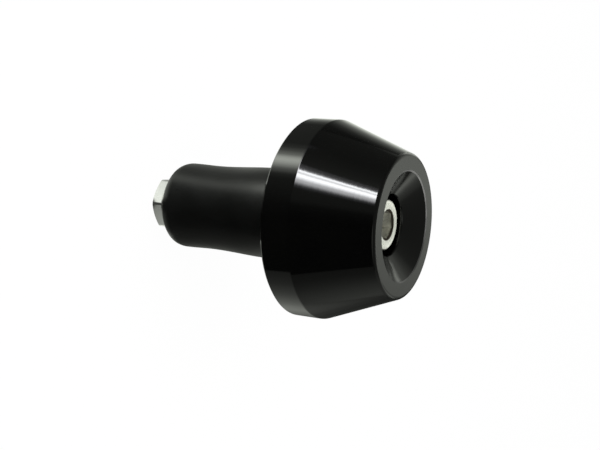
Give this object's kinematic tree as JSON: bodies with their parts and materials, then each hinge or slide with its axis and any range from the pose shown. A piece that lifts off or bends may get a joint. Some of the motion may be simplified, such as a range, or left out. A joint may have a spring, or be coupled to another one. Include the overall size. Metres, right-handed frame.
{
  "type": "bar end weight",
  "caption": "Turned black weight with a dished outer face, held in the end of a handlebar by a cap screw that swells a rubber sleeve.",
  "frame": {"origin": "middle of the weight's back face, which meets the end of the handlebar", "axes": "+Z along the screw, out of the handlebar; +X and +Y across it"},
  "size_m": [0.039, 0.039, 0.0553],
  "materials": {
    "black_anodised": "black anodised, fine turned",
    "bright_steel": "bright stainless",
    "black_rubber": "matte moulded",
    "plated_washer": "zinc plated",
    "plated_nut": "zinc plated"
  },
  "bodies": {
    "root": {"end_weight": "black_anodised", "cap_screw": "bright_steel", "rubber_sleeve": "black_rubber", "flat_washer": "plated_washer", "hex_nut": "plated_nut"}
  },
  "joints": []
}
